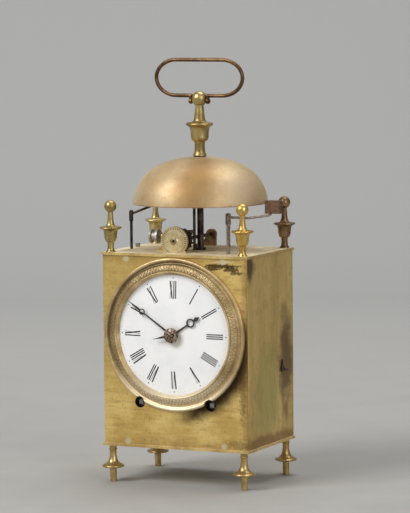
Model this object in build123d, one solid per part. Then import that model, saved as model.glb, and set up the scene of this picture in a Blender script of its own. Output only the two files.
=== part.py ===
from build123d import *
from math import atan2, cos, degrees, hypot, pi, radians, sin, sqrt
import os

# A capucine clock: a small brass carriage clock with a bell on top and a carrying handle.
# Millimetres. The origin is on the floor below the bell post, X to the right, Y to the back, Z up.

os.makedirs("parts", exist_ok=True)

# Clearances
tight = 0.02  # round pieces that stay put in their holes
running = 0.05  # round pieces that turn in their holes
shake = 0.2  # arbor shoulder to plate
door_gap = 0.3  # door edge to its neighbour

# Case
case_width = 110.0
case_depth = 78.6
case_x = -2.0  # middle of the case, seen from the bell post
sheet = 1.2  # front plate and doors
plate = 1.8  # base and top plates
overhang = 0.9  # plates beyond the walls
base_z = 26.0  # underside of the base plate
top_z = 161.8  # upper face of the top plate
corner_in_x = 4.5  # corner columns in from the sides
corner_in_y = 3.6  # and in from the front and back
column_r = 1.9
stud_r = 1.2
stud_length = 5.0

# Feet and corner finials
foot_tip_r = 2.26
foot_stem_r = 2.4
foot_disc_r = 7.9
foot_disc_z = 11.0
finial_base_r = 3.3
finial_neck_r = 2.3
finial_cup_r = 5.2
finial_flange_r = 7.6
finial_flange_h = 16.0
finial_waist_r = 1.85
finial_ball_r = 4.3
finial_ball_h = 31.9

# Doors
hinge_in = 1.0  # hinge axis behind the outer face of a door, and the rolled tube's radius
hinge_pin_r = 0.5
side_hinge_back = 2.7  # hinge axis behind the front face of the case
back_hinge_in = 2.6  # back door's hinge axis in from the side of the case
catch_y = 19.5
catch_z = 78.0
catch_r = 2.2
catch_proud = 0.9
back_catch_in = 14.0  # back door's catch in from the side of the case

# Front plate lugs
lug_x = 37.0  # from the middle of the case
lug_in = 2.2  # rivet from the edge of the front plate
rivet_r = 1.3
lug_wide = 8.0
lug_leg = 5.6

# Dial, bezel and hands
dial_z = 106.1
dial_r = 43.2
dial_hidden = 1.2  # rim of the dial under the bezel
dial_crown = 2.9
dial_edge = 1.1
dial_thick = 1.0
dial_hole_r = 3.1
bezel_lip = 1.2
bezel_rim = 2.7
bezel_cove = 1.9
bezel_band = 4.4
bezel_ridge = 1.4
bezel_rim_h = 2.6
bezel_ridge_h = 4.9
winding_x = 27.2
winding_z = 57.8
winding_hole_r = 4.0
notch_r = 4.5
hand_thick = 0.6
hand_gap = 0.5
minute_angle = 304.6  # clockwise from the top
hour_angle = 57.0
alarm_angle = 257.5
minute_length = 40.2
minute_ring_at = 27.6
hour_length = 24.7
hour_ring_at = 16.6
alarm_length = 14.1
alarm_knob_r = 5.2
alarm_knob_h = 2.6
alarm_knob_edge = 0.8
alarm_cam_r = 5.0
alarm_cam_thick = 1.2

# Bell, post and carrying handle
bell_rim_r = 47.4
bell_rim_z = 194.7
bell_top_z = 227.3
bell_shoulder_r = 28.0
bell_shoulder_drop = 5.35
bell_wall = 2.4
bell_hole_r = 1.75
bell_seat_r = 4.6
post_r = 2.3
post_end_r = 1.6
post_tenon_r = 1.8
post_foot_r = 3.8
post_foot_h = 1.6
post_collar_r = 3.9
post_collar_h = 2.2
washer_r = 4.2
nut_size = 7.0
nut_thick = 2.6
handle_finial_z = 227.9
handle_ball_r = 5.4
handle_ball_h = 39.7
handle_waist_r = 2.9
handle_base_r = 4.8
handle_cup_r = 7.2
handle_socket = 7.0
handle_flange_r = 9.6
handle_flange_h = 20.7
handle_wire_r = 1.35
handle_half = 34.5
handle_straight = 17.5  # half of the straight top
handle_top_z = 296.1
handle_low_z = 269.8
handle_pin_r = 0.9
handle_pin_head = 0.8
handle_pin_low = 1.6  # hinge pin below the middle of the ball
handle_eye_r = 2.0
handle_eye_gap = 0.3  # from the ball
handle_eye_wide = 1.6

# Striking hammers
right_arbor_x = 32.0
right_arbor_in = 16.3  # behind the front of the case
right_arbor_r = 1.35
right_collet_r = 1.9
right_head_out = 4.4  # head from the bell's rim, at rest
right_head_y = -3.0
right_head_z = 193.5
right_head_size = (11.2, 6.0, 9.0)
right_arm_bend = (12.0, 7.0)
left_arbor_in = 7.2  # in from the side of the case
left_arbor_y = -8.7
left_arbor_r = 1.0
left_collet_r = 1.5
left_head_in = 11.4  # middle of the head inside the bell's rim
left_head_y = 3.0
left_head_z = 199.5
left_head_r = 3.0
left_head_tall = 6.0
collet_tall = 7.0
collet_dome = 0.9
right_collet_z = 182.2
left_collet_z = 181.4
arm_up = 5.0  # arm above the foot of its collet
hammer_wire_r = 0.85
potence_z = 120.0
potence_sheet = 1.4
potence_wide = 5.6
potence_out = 3.4  # hanger from the arbor it carries
tail_z = 125.0
tail_reach = 6.5
tail_size = 1.6

# Alarm on the top plate
alarm_x = -7.5
alarm_z = 169.9
alarm_cock_y = -27.5
alarm_cock_r = 10.2
alarm_cock_thick = 2.0
alarm_cock_foot = (18.0, 9.0, 1.3)
alarm_boss_r = 3.25
alarm_boss_h = 1.0
alarm_back_reach = 13.5
alarm_back_toe = 1.3
alarm_back_r = 3.7
alarm_back_proud = 0.6
alarm_back_y = 33.0
alarm_arbor_r = 1.3
alarm_pivot_r = 0.9
crown_r = 7.7
crown_y = -17.0
crown_thick = 1.2
crown_rim = 1.3
crown_wall = 2.0
crown_tooth = 2.4
crown_teeth = 15
verge_xy = (-2.6, -4.6)
verge_r = 1.0
verge_top_z = 201.5
verge_foot_z = 154.4
verge_flag = 7.0
verge_flag_z = 5.0  # pallets above and below the crown wheel's arbor
alarm_hammer_short = 9.9  # alarm hammer's reach short of the bell's rim
alarm_hammer_half = 12.0
alarm_hammer_turn = -20.0  # direction of the arm from the right, in degrees
spool_r = 4.9
spool_x = -34.0
spool_long = 6.4
spool_y = -9.5
spool_z = 171.4
spool_flange = 1.5
set_square_size = 2.5
set_square_at = (-52.9, 7.5)

# Movement plates and trains
movement_in = 7.8  # front movement plate behind the front of the case
movement_plate = 1.8
movement_apart = 43.5  # front faces of the two movement plates
movement_side = 6.0  # movement plates in from the sides of the case
movement_down = 7.6  # and below the underside of the top plate
movement_corner = 8.0
pillar_r = 2.5
low_pillar = (4.5, 8.2)  # in from the side of the plates, up from the base
high_pillar = (9.0, 5.9)  # in from the side and down from the top of the plates
middle_pillar_up = 11.2
bracket_x = 14.0
arbor_r = 1.2
pivot_r = 0.7
addendum = 0.75
dedendum = 1.05
tooth_root = 0.30
tooth_tip = 0.11
wheel_thick = 1.5
motion_thick = 1.2
pinion_past = 1.2
drum_r = 20.0
drum_long = 14.0
drum_wall = 1.4
drum_arbor_r = 3.0
winding_pivot_r = 2.4
winding_square = 3.2
ratchet_r = 8.8
ratchet_teeth = 16
ratchet_thick = 1.4
click_off = 9.0  # click's pivot beside and above the winding arbor
click_r = 2.4
click_reach = 3.45
centre_pipe_r = 1.6
alarm_rod_r = 0.62
hour_pipe_r = 2.4
pallet_z_up = 14.0  # pallet arbor above the escape arbor
escape_r = 10.0
escape_teeth = 18
pallet_span = 40.0
count_r = 13.5
pendulum_length = 86.0
pendulum_out = 7.2  # behind the back movement plate
pendulum_cock_size = (26.0, 6.0)
pendulum_post_x = 10.5
pendulum_post_r = 2.0
pendulum_rod_r = 0.8
bob_r = 11.0
bob_thick = 5.0

# Teeth of each wheel and of the pinion it drives, with their module
great_teeth, first_pinion_teeth, great_module = 48, 12, 1.0
second_teeth, centre_pinion_teeth = 42, 10
centre_teeth, third_pinion_teeth, centre_module = 36, 8, 1.0
third_teeth, escape_pinion_teeth, third_module = 36, 8, 0.8
pin_pinion_teeth = 8
pin_teeth, lock_pinion_teeth, pin_module = 40, 8, 0.9
lock_teeth, fly_pinion_teeth, lock_module = 36, 8, 0.8
cannon_teeth, minute_teeth, cannon_module = 12, 36, 0.75
minute_pinion_teeth, hour_teeth, hour_module = 10, 40, 0.72
count_pinion_teeth, count_teeth, count_module = 10, 50, 0.7
third_turn = 50.0  # direction of the third arbor from the centre, in degrees from the right
pin_turn = 95.0
lock_turn = 97.0
fly_turn = 70.0
count_turn = -75.0
minute_turn = 225.0
strike_pin_count = 8
strike_pin_out = 15.2
fly_wide = 21.0
fly_long = 12.0


def outline(start, *steps):
    """A face from straight runs and arcs; a step is an end point, or a pair of points for an arc."""
    edges = []
    here = start
    for step in steps:
        if isinstance(step[0], tuple):
            through, end = step
            edges.append(ThreePointArc(here, through, end))
        else:
            end = step
            edges.append(Line(here, end))
        here = end
    edges.append(Line(here, start))
    return make_face(edges)


def turned(start, *steps):
    """A solid turned about Z from a profile of (radius, height) points."""
    return revolve(Plane.XZ * outline(start, *steps), Axis.Z)


def dome(edge, low, top):
    """The arc of a domed end, from its edge up to the axis."""
    high = top - low
    radius = (edge**2 + high**2) / (2 * high)
    return ((edge / 2, top - radius + sqrt(radius**2 - edge**2 / 4)), (0, top))


def seen_from_front(x, y, z):
    """A view plane: its X to the right, its Y up and its Z towards the front."""
    return Plane((x, y, z), x_dir=(1, 0, 0), z_dir=(0, -1, 0))


def run_y(x, z, near, far, section):
    """A section drawn as seen from the front, run from y = near to y = far."""
    return extrude(seen_from_front(x, far, z) * section, far - near)


def run_z(x, y, low, high, section):
    """A section drawn from above, run from z = low to z = high."""
    return extrude(Plane((x, y, low)) * section, high - low)


def run_x(y, z, left, right, section):
    """A section drawn in Y and Z, run from x = left to x = right."""
    return extrude(Plane((left, y, z), x_dir=(0, 1, 0), z_dir=(1, 0, 0)) * section, right - left)


def wire(radius, bend, *points):
    """A round wire through points, with bends of one radius."""
    path = FilletPolyline(*points, radius=bend)
    return sweep(Plane(path @ 0, z_dir=path % 0) * Circle(radius), path)


def polar(radius, angle):
    return (radius * cos(radians(angle)), radius * sin(radians(angle)))


def beyond(spot, reach, turn):
    x, z = polar(reach, turn)
    return (spot[0] + x, spot[1] + z)


def clock_angle(angle):
    """Degrees clockwise from the top, as degrees from the right."""
    return 90 - angle


def meet(a, reach_a, b, reach_b):
    """The point at given distances from a and b, to the right of the way from a to b."""
    apart = hypot(b[0] - a[0], b[1] - a[1])
    along = (reach_a**2 - reach_b**2 + apart**2) / (2 * apart)
    off = sqrt(reach_a**2 - along**2)
    ux, uz = (b[0] - a[0]) / apart, (b[1] - a[1]) / apart
    return (a[0] + along * ux + off * uz, a[1] + along * uz - off * ux)


def toothed(teeth, module, phase=0.0):
    """A wheel face with straight-flanked teeth, one of them centred at phase degrees."""
    pitch = teeth * module / 2
    low, high = pitch - dedendum * module, pitch + addendum * module
    tooth = ((low, -tooth_root), (high, -tooth_tip), (high, tooth_tip), (low, tooth_root))
    points = [polar(r, phase + 360 / teeth * (i + share)) for i in range(teeth) for r, share in tooth]
    return make_face(Polyline(*points, close=True))


def distance(teeth_a, teeth_b, module):
    return (teeth_a + teeth_b) * module / 2


def in_mesh(a, b, teeth_a, teeth_b, phase_a):
    """The phase that puts a gap of wheel b over the tooth of wheel a on their line of centres."""
    angle = degrees(atan2(b[1] - a[1], b[0] - a[0]))
    tooth_a = (angle - phase_a) / (360 / teeth_a)
    return angle + 180 - (0.5 - tooth_a) * 360 / teeth_b


def crossed(face, outer, inner, spoke):
    """A wheel face with four windows between its spokes."""
    spokes = Rectangle(2 * outer, spoke) + Rectangle(spoke, 2 * outer)
    return face - (Circle(outer) - Circle(inner) - spokes)


def arbor(spot):
    """An arbor between the movement plates, with its pivots."""
    body = run_y(*spot, train_front + shake, movement_back - shake, Circle(arbor_r))
    return body + run_y(*spot, movement_front, movement_rear, Circle(pivot_r))


def leaves(spot, middle, teeth, module, phase):
    """A pinion that reaches past both faces of a wheel whose front face is at y = middle."""
    far = middle + wheel_thick + pinion_past
    return run_y(*spot, middle - pinion_past, far, toothed(teeth, module, phase))


def save(name, *solids):
    shape = solids[0] if len(solids) == 1 else Compound(children=list(solids))
    export_step(shape, f"parts/{name}.step")


# Worked out from the above
on_floor = (Align.CENTER, Align.CENTER, Align.MIN)
base_top = base_z + plate
top_under = top_z - plate
half_w = case_width / 2
half_d = case_depth / 2
front_y = -half_d
dial_sight_r = dial_r - dial_hidden
bezel_r = dial_sight_r + bezel_lip + bezel_ridge + bezel_band + bezel_cove + bezel_rim
corner_x = half_w - corner_in_x
corner_y = half_d - corner_in_y
corners = [(case_x + sx * corner_x, sy * corner_y) for sx in (-1, 1) for sy in (-1, 1)]
side_hinge = (half_w - hinge_in, front_y + side_hinge_back)
back_hinge = (case_x - half_w + back_hinge_in, half_d - hinge_in)
hinge_spots = [(case_x + side * side_hinge[0], side_hinge[1]) for side in (-1, 1)] + [back_hinge]
hour_y = front_y - dial_crown - hand_gap - hand_thick
minute_y = hour_y - hand_gap - hand_thick
knob_y = minute_y - hand_gap
handle_hinge_z = handle_finial_z + handle_ball_h - handle_pin_low
handle_eye_x = handle_ball_r + handle_eye_gap
right_arbor = (right_arbor_x, front_y + right_arbor_in)
left_arbor = (case_x - half_w + left_arbor_in, left_arbor_y)
left_head = (left_head_in - bell_rim_r, left_head_y, left_head_z)
right_head_x = bell_rim_r + right_head_out
alarm_hammer_reach = bell_rim_r - alarm_hammer_short
movement_front = front_y + movement_in
movement_back = movement_front + movement_apart
movement_half = half_w - movement_side
movement_top = top_under - movement_down
crown_back = crown_y + crown_thick + crown_wall

# Movement arbors, seen from the front
centre = (case_x, dial_z)
going = (case_x + winding_x, winding_z)
striking = (case_x - winding_x, winding_z)
first_reach = distance(great_teeth, first_pinion_teeth, great_module)
second = meet(going, first_reach, centre, distance(second_teeth, centre_pinion_teeth, great_module))
third = beyond(centre, distance(centre_teeth, third_pinion_teeth, centre_module), third_turn)
escape_reach = distance(third_teeth, escape_pinion_teeth, third_module)
escape = (centre[0], third[1] + sqrt(escape_reach**2 - (third[0] - centre[0]) ** 2))
pallet = (escape[0], escape[1] + pallet_z_up)
pin_spot = beyond(striking, distance(great_teeth, pin_pinion_teeth, great_module), pin_turn)
lock_spot = beyond(pin_spot, distance(pin_teeth, lock_pinion_teeth, pin_module), lock_turn)
fly_spot = beyond(lock_spot, distance(lock_teeth, fly_pinion_teeth, lock_module), fly_turn)
count_spot = beyond(pin_spot, distance(count_pinion_teeth, count_teeth, count_module), count_turn)
minute_spot = beyond(centre, distance(cannon_teeth, minute_teeth, cannon_module), minute_turn)

# Layers of the trains, each from its front face
train_front = movement_front + movement_plate
movement_rear = movement_back + movement_plate
great_y = train_front + 2.2
drum_y = great_y + 2.0
drum_end = drum_y + drum_long
second_y = drum_end + 3.5
centre_y = drum_y + 10.5
third_y = train_front + 9.7
escape_y = movement_back - 10.0
pin_y = escape_y - 5.0
cannon_y = movement_front - 1.7
hour_wheel_y = cannon_y - 2.0
count_y = movement_rear + 0.9
pendulum_y = movement_rear + pendulum_out


def case_plates():
    plan = Rectangle(case_width + 2 * overhang, case_depth + 2 * overhang)
    base = run_z(case_x, 0, base_z, base_top, plan)
    top = run_z(case_x, 0, top_under, top_z, plan)
    for x, y in corners:
        hole = Circle(stud_r + tight)
        base -= run_z(x, y, base_z, base_top, hole)
        top -= run_z(x, y, top_under, top_z, hole)
    for x, y in hinge_spots:
        hole = Circle(hinge_pin_r + tight)
        base -= run_z(x, y, base_z, base_top, hole)
        top -= run_z(x, y, top_under, top_z, hole)
    for spot, radius in (
        ((0, 0), post_tenon_r + tight),
        (right_arbor, right_arbor_r + running),
        (left_arbor, left_arbor_r + running),
        (verge_xy, verge_r + running),
    ):
        top -= run_z(*spot, top_under, top_z, Circle(radius))
    save("base_plate", base)
    save("top_plate", top)


def corner_pieces():
    column = run_z(0, 0, base_top, top_under, Circle(column_r))
    column += run_z(0, 0, base_z - stud_length, top_z + stud_length, Circle(stud_r))
    socket_r = stud_r + tight
    foot = turned(
        (0, 0),
        (foot_tip_r, 0),
        (foot_stem_r, foot_disc_z - 1.3),
        (foot_disc_r - 2.4, foot_disc_z - 1.0),
        (foot_disc_r, foot_disc_z),
        (foot_disc_r - 0.6, foot_disc_z + 1.1),
        (foot_disc_r * 0.6, foot_disc_z + 2.0),
        ((foot_stem_r + 0.9, foot_disc_z + 3.6), (foot_stem_r, foot_disc_z + 7.0)),
        (foot_stem_r, base_z),
        (socket_r, base_z),
        (socket_r, base_z - stud_length),
        (0, base_z - stud_length),
    )
    flange = finial_flange_h
    ball_low = finial_ball_h - sqrt(finial_ball_r**2 - finial_waist_r**2)
    finial = turned(
        (0, stud_length),
        (socket_r, stud_length),
        (socket_r, 0),
        (finial_base_r, 0),
        (finial_neck_r, 2.0),
        (finial_neck_r, flange - 8.6),
        (finial_cup_r - 1.4, flange - 7.7),
        (finial_cup_r - 0.9, flange - 6.0),
        (finial_cup_r, flange),
        (finial_flange_r - 0.3, flange),
        (finial_flange_r, flange + 1.2),
        (finial_flange_r - 0.4, flange + 1.8),
        (finial_waist_r + 1.2, flange + 2.4),
        ((finial_waist_r + 0.25, flange + 6.0), (finial_waist_r, ball_low)),
        ((finial_ball_r, finial_ball_h), (0, finial_ball_h + finial_ball_r)),
    )
    save("corner_columns", *[Pos(x, y, 0) * column for x, y in corners])
    save("feet", *[Pos(x, y, 0) * foot for x, y in corners])
    save("corner_finials", *[Pos(x, y, top_z) * finial for x, y in corners])


def door(length):
    """A door with its hinge axis on Z: the panel runs along X and its outer face looks to -Y."""
    low, high = base_top + door_gap, top_under - door_gap
    tube = run_z(0, 0, low, high, Circle(hinge_in))
    panel = run_z(length / 2, sheet / 2 - hinge_in, low, high, Rectangle(length, sheet))
    return tube + panel - run_z(0, 0, low, high, Circle(hinge_pin_r + running))


def catch():
    """A small catch seen from outside, its boss at the origin and its back at z = 0."""
    face = Circle(catch_r)
    face += outline((-1.2, 0), (-0.5, 6.6), (0.6, 6.4), (1.4, 0))
    face += outline((0, -1.6), (0, 1.0), (9.0, -1.2), (9.0, -2.4))
    return extrude(face, catch_proud)


def doors():
    middle = Plane((case_x, 0, 0), z_dir=(1, 0, 0))
    hang = Pos(case_x + side_hinge[0], side_hinge[1], 0) * Rot(0, 0, 90)
    side_face = Plane((case_x + half_w, catch_y, catch_z), x_dir=(0, 1, 0), z_dir=(1, 0, 0))
    side_catch = side_face * catch()
    save("right_door", hang * door(half_d - sheet - door_gap - side_hinge[1]))
    save("right_door_catch", side_catch)
    save("left_door", mirror(hang * door(half_d - side_hinge[1]) + side_catch, middle))
    back = Pos(*back_hinge, 0) * mirror(door(case_x + half_w - back_hinge[0]), Plane.XZ)
    back_face = Plane((case_x + half_w - back_catch_in, half_d, catch_z), x_dir=(-1, 0, 0), z_dir=(0, 1, 0))
    save("back_door", back + back_face * catch())
    save("hinge_pins", *[run_z(x, y, base_z, top_z, Circle(hinge_pin_r)) for x, y in hinge_spots])


def front_plate_and_lugs():
    back = front_y + sheet
    middle = (base_top + top_under) / 2
    face = Rectangle(case_width, top_under - base_top)
    face -= Pos(0, dial_z - middle) * Circle(dial_hole_r)
    for side in (-1, 1):
        face -= Pos(side * winding_x, winding_z - middle) * Circle(winding_hole_r)
    front = run_y(case_x, middle, front_y, back, face)
    lugs = []
    for side in (-1, 1):
        for edge, up in ((base_top, 1), (top_under, -1)):
            x = case_x + side * lug_x
            z = edge + up * lug_in
            front -= run_y(x, z, front_y, back, Circle(rivet_r + tight))
            leg = run_y(x, edge + up * lug_leg / 2, back, back + sheet, Rectangle(lug_wide, lug_leg))
            foot = run_y(x, edge + up * sheet / 2, back, back + lug_leg, Rectangle(lug_wide, sheet))
            lugs.append(leg + foot + run_y(x, z, front_y, back, Circle(rivet_r)))
    save("front_plate", front)
    save("front_plate_lugs", *lugs)


def dial_and_bezel():
    view = seen_from_front(case_x, front_y, dial_z)
    radius = (dial_r**2 + (dial_crown - dial_edge) ** 2) / (2 * (dial_crown - dial_edge))

    def crown(r):
        return dial_crown - radius + sqrt(radius**2 - r**2)

    middle = dial_r / 2
    inner = dial_r - 2.0
    dial = turned(
        (dial_hole_r, crown(dial_hole_r)),
        ((middle, crown(middle)), (dial_r, dial_edge)),
        (dial_r, 0),
        (inner, crown(inner) - dial_thick),
        (middle, crown(middle) - dial_thick),
        (dial_hole_r, crown(dial_hole_r) - dial_thick),
    )
    save("dial", view * dial)

    rim_in = bezel_r - bezel_rim
    cove_in = rim_in - bezel_cove
    band_in = cove_in - bezel_band
    ridge_in = band_in - bezel_ridge
    lip = dial_edge + door_gap
    rabbet = dial_r + door_gap
    bezel = turned(
        (bezel_r, 0),
        (bezel_r, 1.2),
        (((bezel_r + rim_in) / 2, bezel_rim_h), (rim_in, 1.5)),
        (cove_in, bezel_rim_h - 0.3),
        (band_in, bezel_ridge_h - 0.9),
        (band_in - 0.3, bezel_ridge_h - 0.1),
        (ridge_in + 0.3, bezel_ridge_h - 0.1),
        (ridge_in, bezel_ridge_h - 0.9),
        (dial_sight_r, lip + 0.6),
        (dial_sight_r, lip),
        (rabbet, lip),
        (rabbet, 0),
    )
    for side in (-1, 1):
        notch = Cylinder(notch_r, 4 * bezel_ridge_h)
        bezel -= Pos(side * winding_x, winding_z - dial_z, 0) * notch
    save("bezel", view * bezel)


def hand(length, ring_at, rings, hub_r, bore_r, stem, leaf):
    """A ring hand drawn along X, with the outer and inner radius of its ring."""
    ring_r, hole_r = rings
    stem_end = ring_at - hole_r - 0.2
    root = ring_at + ring_r - 0.2
    face = outline((0, -0.7), (0, 0.7), (stem_end, stem), (stem_end, -stem))
    face += outline((root, 0.5), (root + 2.2, leaf), (length, 0), (root + 2.2, -leaf), (root, -0.5))
    face += Pos(ring_at, 0) * Circle(ring_r)
    face += Circle(hub_r)
    return face - Pos(ring_at, 0) * Circle(hole_r) - Circle(bore_r)


def hands():
    face = hand(hour_length, hour_ring_at, (3.1, 2.2), 3.4, hour_pipe_r, 0.5, 1.6)
    save("hour_hand", run_y(*centre, hour_y, hour_y + hand_thick, Rot(0, 0, clock_angle(hour_angle)) * face))
    face = hand(minute_length, minute_ring_at, (2.2, 1.5), 2.7, centre_pipe_r, 0.45, 0.8)
    face = Rot(0, 0, clock_angle(minute_angle)) * face
    save("minute_hand", run_y(*centre, minute_y, minute_y + hand_thick, face))

    knob = turned(
        (0, 0),
        (alarm_knob_r, 0),
        (alarm_knob_r, alarm_knob_edge),
        dome(alarm_knob_r, alarm_knob_edge, alarm_knob_h),
    )
    pointer = outline((0, 1.4), (alarm_length, 0.1), (alarm_length, -0.1), (0, -1.4))
    knob += extrude(Rot(0, 0, clock_angle(alarm_angle)) * pointer, hand_thick)
    alarm = seen_from_front(case_x, knob_y, dial_z) * knob
    cam_y = movement_rear + 0.6
    cam = Circle(alarm_cam_r) - Pos(*polar(alarm_cam_r, 30)) * Circle(1.6)
    alarm += run_y(*centre, knob_y, cam_y + 2 * alarm_cam_thick, Circle(alarm_rod_r))
    alarm += run_y(*centre, cam_y, cam_y + alarm_cam_thick, cam)
    save("alarm_hand", alarm)


def bell_profile(wall):
    """The bell's crown and flank as arcs that meet smoothly, drawn in by a wall."""
    big = (bell_shoulder_r**2 + bell_shoulder_drop**2) / (2 * bell_shoulder_drop)
    nx, nz = bell_shoulder_r / big, 1 - bell_shoulder_drop / big
    shoulder_z = bell_top_z - bell_shoulder_drop
    dx, dz = bell_rim_r - bell_shoulder_r, bell_rim_z - shoulder_z
    small = -(dx**2 + dz**2) / (2 * (dx * nx + dz * nz))
    hub = (bell_shoulder_r - small * nx, shoulder_z - small * nz)
    r = small - wall
    rim_drop = bell_rim_z - hub[1]
    rim_angle = degrees(atan2(rim_drop, sqrt(r**2 - rim_drop**2)))
    shoulder_angle = degrees(atan2(nz, nx))
    rim = beyond(hub, r, rim_angle)
    flank = beyond(hub, r, (rim_angle + shoulder_angle) / 2)
    shoulder = beyond(hub, r, shoulder_angle)

    def crown(x):
        return (x, bell_top_z - big + sqrt((big - wall) ** 2 - x**2))

    return rim, flank, shoulder, crown


def bell_and_post():
    rim, flank, shoulder, crown = bell_profile(0)
    rim_in, flank_in, shoulder_in, crown_in = bell_profile(bell_wall)
    seat = crown(bell_seat_r)
    seat_in = crown_in(bell_seat_r)
    bell = turned(
        rim,
        (flank, shoulder),
        (crown((shoulder[0] + bell_seat_r) / 2), seat),
        (bell_hole_r, seat[1]),
        (bell_hole_r, seat_in[1]),
        seat_in,
        (crown_in((shoulder_in[0] + bell_seat_r) / 2), shoulder_in),
        (flank_in, rim_in),
    )
    save("bell", bell)
    nut_low = top_under - nut_thick
    post = run_z(0, 0, top_z, seat_in[1], Circle(post_r))
    post += run_z(0, 0, top_z, top_z + post_foot_h, Circle(post_foot_r))
    post += run_z(0, 0, seat_in[1] - post_collar_h, seat_in[1], Circle(post_collar_r))
    post += run_z(0, 0, seat_in[1], handle_finial_z + handle_socket, Circle(post_end_r))
    post += run_z(0, 0, nut_low - 0.8, top_z, Circle(post_tenon_r))
    save("bell_post", post)
    washer = run_z(0, 0, seat[1], handle_finial_z, Circle(washer_r) - Circle(post_end_r + tight))
    hexagon = RegularPolygon(nut_size / 2, 6) - Circle(post_tenon_r + tight)
    save("bell_fixings", washer, run_z(0, 0, nut_low, top_under, hexagon))


def handle_pieces():
    socket = post_end_r + tight
    flange = handle_flange_h
    cup_low = flange - 10.5
    ball_low = handle_ball_h - sqrt(handle_ball_r**2 - handle_waist_r**2)
    finial = turned(
        (0, handle_socket),
        (socket, handle_socket),
        (socket, 0),
        (handle_base_r, 0),
        (handle_base_r - 0.2, 0.9),
        (handle_base_r - 1.2, 5.0),
        (handle_base_r - 1.2, cup_low),
        (handle_cup_r - 2.2, cup_low),
        (handle_cup_r - 1.3, cup_low + 1.6),
        (handle_cup_r, flange),
        (handle_flange_r - 0.4, flange),
        (handle_flange_r, flange + 1.2),
        (handle_flange_r - 0.5, flange + 2.6),
        (handle_waist_r + 1.0, flange + 3.6),
        ((handle_waist_r + 0.5, flange + 9.0), (handle_waist_r, ball_low)),
        ((handle_ball_r, handle_ball_h), (0, handle_ball_h + handle_ball_r)),
    )
    finial = Pos(0, 0, handle_finial_z) * finial
    finial -= run_x(0, handle_hinge_z, -handle_ball_r, handle_ball_r, Circle(handle_pin_r + tight))
    save("handle_finial", finial)

    head = handle_eye_x + handle_eye_wide + running
    end = head + handle_pin_head
    pin = run_x(0, handle_hinge_z, -head, head, Circle(handle_pin_r))
    for low, high in ((-end, -head), (head, end)):
        pin += run_x(0, handle_hinge_z, low, high, Circle(handle_pin_r + 0.2))
    save("handle_pin", pin)

    top = handle_top_z - handle_wire_r
    low = handle_low_z
    middle = (top + low) / 2
    straight = handle_straight
    bow = (handle_half - handle_wire_r - straight, (top - low) / 2)
    loop = Line((handle_eye_x, low), (straight, low))
    loop += EllipticalCenterArc((straight, middle), *bow, start_angle=-90, arc_size=180)
    loop += Line((straight, top), (-straight, top))
    loop += EllipticalCenterArc((-straight, middle), *bow, start_angle=90, arc_size=180)
    loop += Line((-straight, low), (-handle_eye_x, low))
    start = Plane((handle_eye_x, 0, low), z_dir=(1, 0, 0))
    handle = sweep(start * Circle(handle_wire_r), Plane.XZ * loop)
    rise = low - handle_hinge_z
    for side in (-1, 1):
        ends = sorted((side * handle_eye_x, side * (handle_eye_x + handle_eye_wide)))
        neck = Pos(0, rise / 2) * Rectangle(2 * handle_wire_r, rise)
        handle += run_x(0, handle_hinge_z, *ends, Circle(handle_eye_r) + neck)
        handle -= run_x(0, handle_hinge_z, *ends, Circle(handle_pin_r + running))
    save("handle", handle)


def hammer_arbor(spot, radius, collet_r, collet_low):
    """A hammer's arbor with its tail and the collet that carries the arm."""
    collet_top = collet_low + collet_tall
    rod = run_z(*spot, potence_z - potence_sheet, collet_top, Circle(radius))
    domed = dome(collet_r, collet_tall, collet_tall + collet_dome)
    rod += Pos(*spot, collet_low) * turned((0, 0), (collet_r, 0), (collet_r, collet_tall), domed)
    tail = Pos(tail_reach / 2, 0) * Rectangle(tail_reach, tail_size)
    return rod + run_z(*spot, tail_z, tail_z + tail_size, tail)


def hammers():
    long, wide, tall = right_head_size
    low = right_head_z - tall / 2
    arm_z = right_collet_z + arm_up
    x, y = right_arbor
    hub = (right_head_x + long * 0.45, right_head_y)
    head = Pos(right_head_x + long / 2, right_head_y, right_head_z) * Box(long, wide, tall)
    head = fillet(head.edges().filter_by(Axis.Z), 0.8)
    knee = (hub[0] - 1.5, hub[1] - 1.6, low - 1.2)
    bend = (x + right_arm_bend[0], y + right_arm_bend[1], arm_z - 0.8)
    arm = wire(hammer_wire_r, 4.0, (x, y, arm_z), bend, knee, (*hub, low + 2.0))
    arbor_piece = hammer_arbor(right_arbor, right_arbor_r, right_collet_r, right_collet_z)
    save("right_hammer_arbor", arbor_piece + arm - head)
    save("right_hammer_head", head)

    x, y, middle = left_head
    low = middle - left_head_tall / 2
    arm_z = left_collet_z + arm_up
    head = run_z(x, y, low, low + left_head_tall, Circle(left_head_r))
    arm = wire(
        hammer_wire_r,
        3.0,
        (*left_arbor, arm_z),
        (x - 2.5, y - 6.0, arm_z + 4.8),
        (x, y, arm_z + 6.5),
        (x, y, low + 2.0),
    )
    arbor_piece = hammer_arbor(left_arbor, left_arbor_r, left_collet_r, left_collet_z)
    save("left_hammer_arbor", arbor_piece + arm - head)
    save("left_hammer_head", head)


def potence(spot, turn, radius, foot_top):
    """A hanger under the top plate whose foot bears the lower end of an arbor."""
    low = foot_top - potence_sheet
    far = potence_out + potence_sheet / 2
    near = radius + 1.4
    hanger = Pos(potence_out, 0) * Rectangle(potence_sheet, potence_wide)
    foot = Pos((far - near) / 2, 0) * Rectangle(far + near, potence_wide)
    piece = run_z(*spot, low, top_under, Rot(0, 0, turn) * hanger)
    piece += run_z(*spot, low, foot_top, Rot(0, 0, turn) * foot)
    return piece - run_z(*spot, low, foot_top, Circle(radius + running))


def potences():
    save(
        "hammer_potences",
        potence(left_arbor, 180, left_arbor_r, potence_z),
        potence(right_arbor, -90, right_arbor_r, potence_z),
        potence(verge_xy, 180, verge_r, verge_foot_z),
    )


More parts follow.
